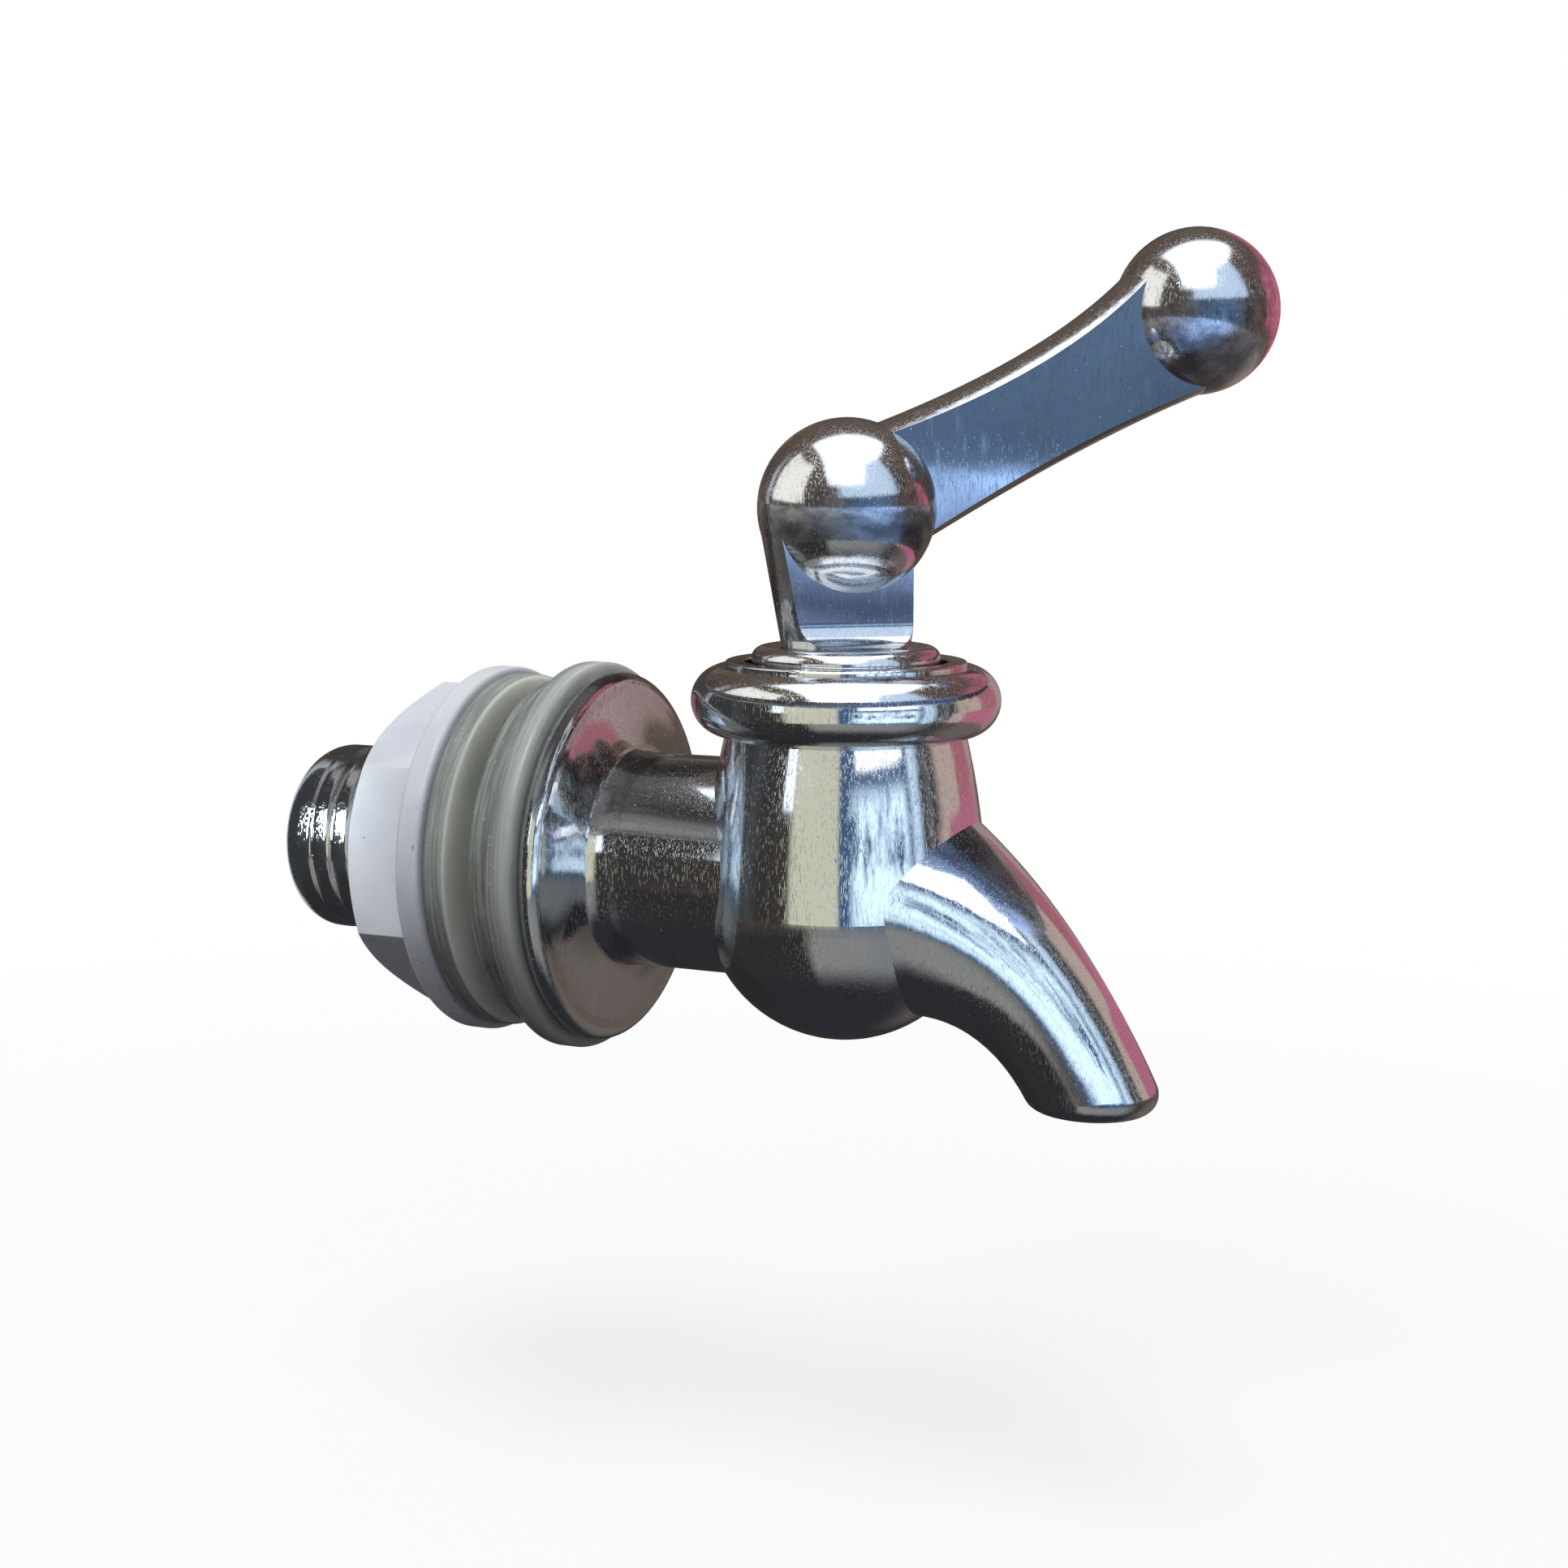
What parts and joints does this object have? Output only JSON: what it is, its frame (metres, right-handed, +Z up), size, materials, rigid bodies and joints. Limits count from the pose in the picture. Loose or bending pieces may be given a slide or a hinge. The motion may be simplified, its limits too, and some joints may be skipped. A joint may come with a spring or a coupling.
{
  "type": "dispenser tap",
  "caption": "Quarter-turn drinks dispenser tap with a ball lever, a downward spout, a wall flange, two silicone gaskets and a hexagon nut on its shank.",
  "frame": {"origin": "centre of the wall flange's back face, on the shank's axis", "axes": "+X out of the wall along the shank towards the spout, +Z up along the valve's axis"},
  "size_m": [0.0781, 0.0415, 0.068],
  "materials": {
    "body_chrome": "mirror plated, finely scratched",
    "ring_chrome": "mirror plated",
    "handle_chrome": "mirror plated, finely scratched",
    "grey_silicone": "translucent satin",
    "white_nylon": "satin",
    "white_silicone": "satin",
    "black_rubber": "satin",
    "natural_acetal": "satin"
  },
  "bodies": {
    "tap": {"tap_body": "body_chrome", "bonnet_ring": "ring_chrome", "bonnet_seal": "white_silicone", "thrust_washer": "natural_acetal", "plug_sleeve": "white_silicone", "outer_gasket": "grey_silicone"},
    "handle": {"lever_handle": "handle_chrome", "stem_oring": "black_rubber", "valve_plug": "natural_acetal"},
    "gasket": {"inner_gasket": "grey_silicone"},
    "nut": {"shank_nut": "white_nylon"}
  },
  "joints": [
    {"name": "handle_turn", "type": "hinge", "parent": "tap", "child": "handle", "pos_m": [0.0215, 0, 0], "axis": [0, 0, 1], "range_deg": [-130, 50]},
    {"name": "gasket_travel", "type": "slide", "parent": "tap", "child": "gasket", "axis": [1, 0, 0], "range_m": [-0.0068, 0.0017]},
    {"name": "nut_turn", "type": "hinge", "parent": "gasket", "child": "nut", "pos_m": [-0.01, 0, 0], "axis": [1, 0, 0], "range_deg": [-1260, 300]}
  ],
  "couplings": [
    {"joint": "gasket_travel", "follows": "nut_turn", "m_per_rad": 0.00030239}
  ]
}
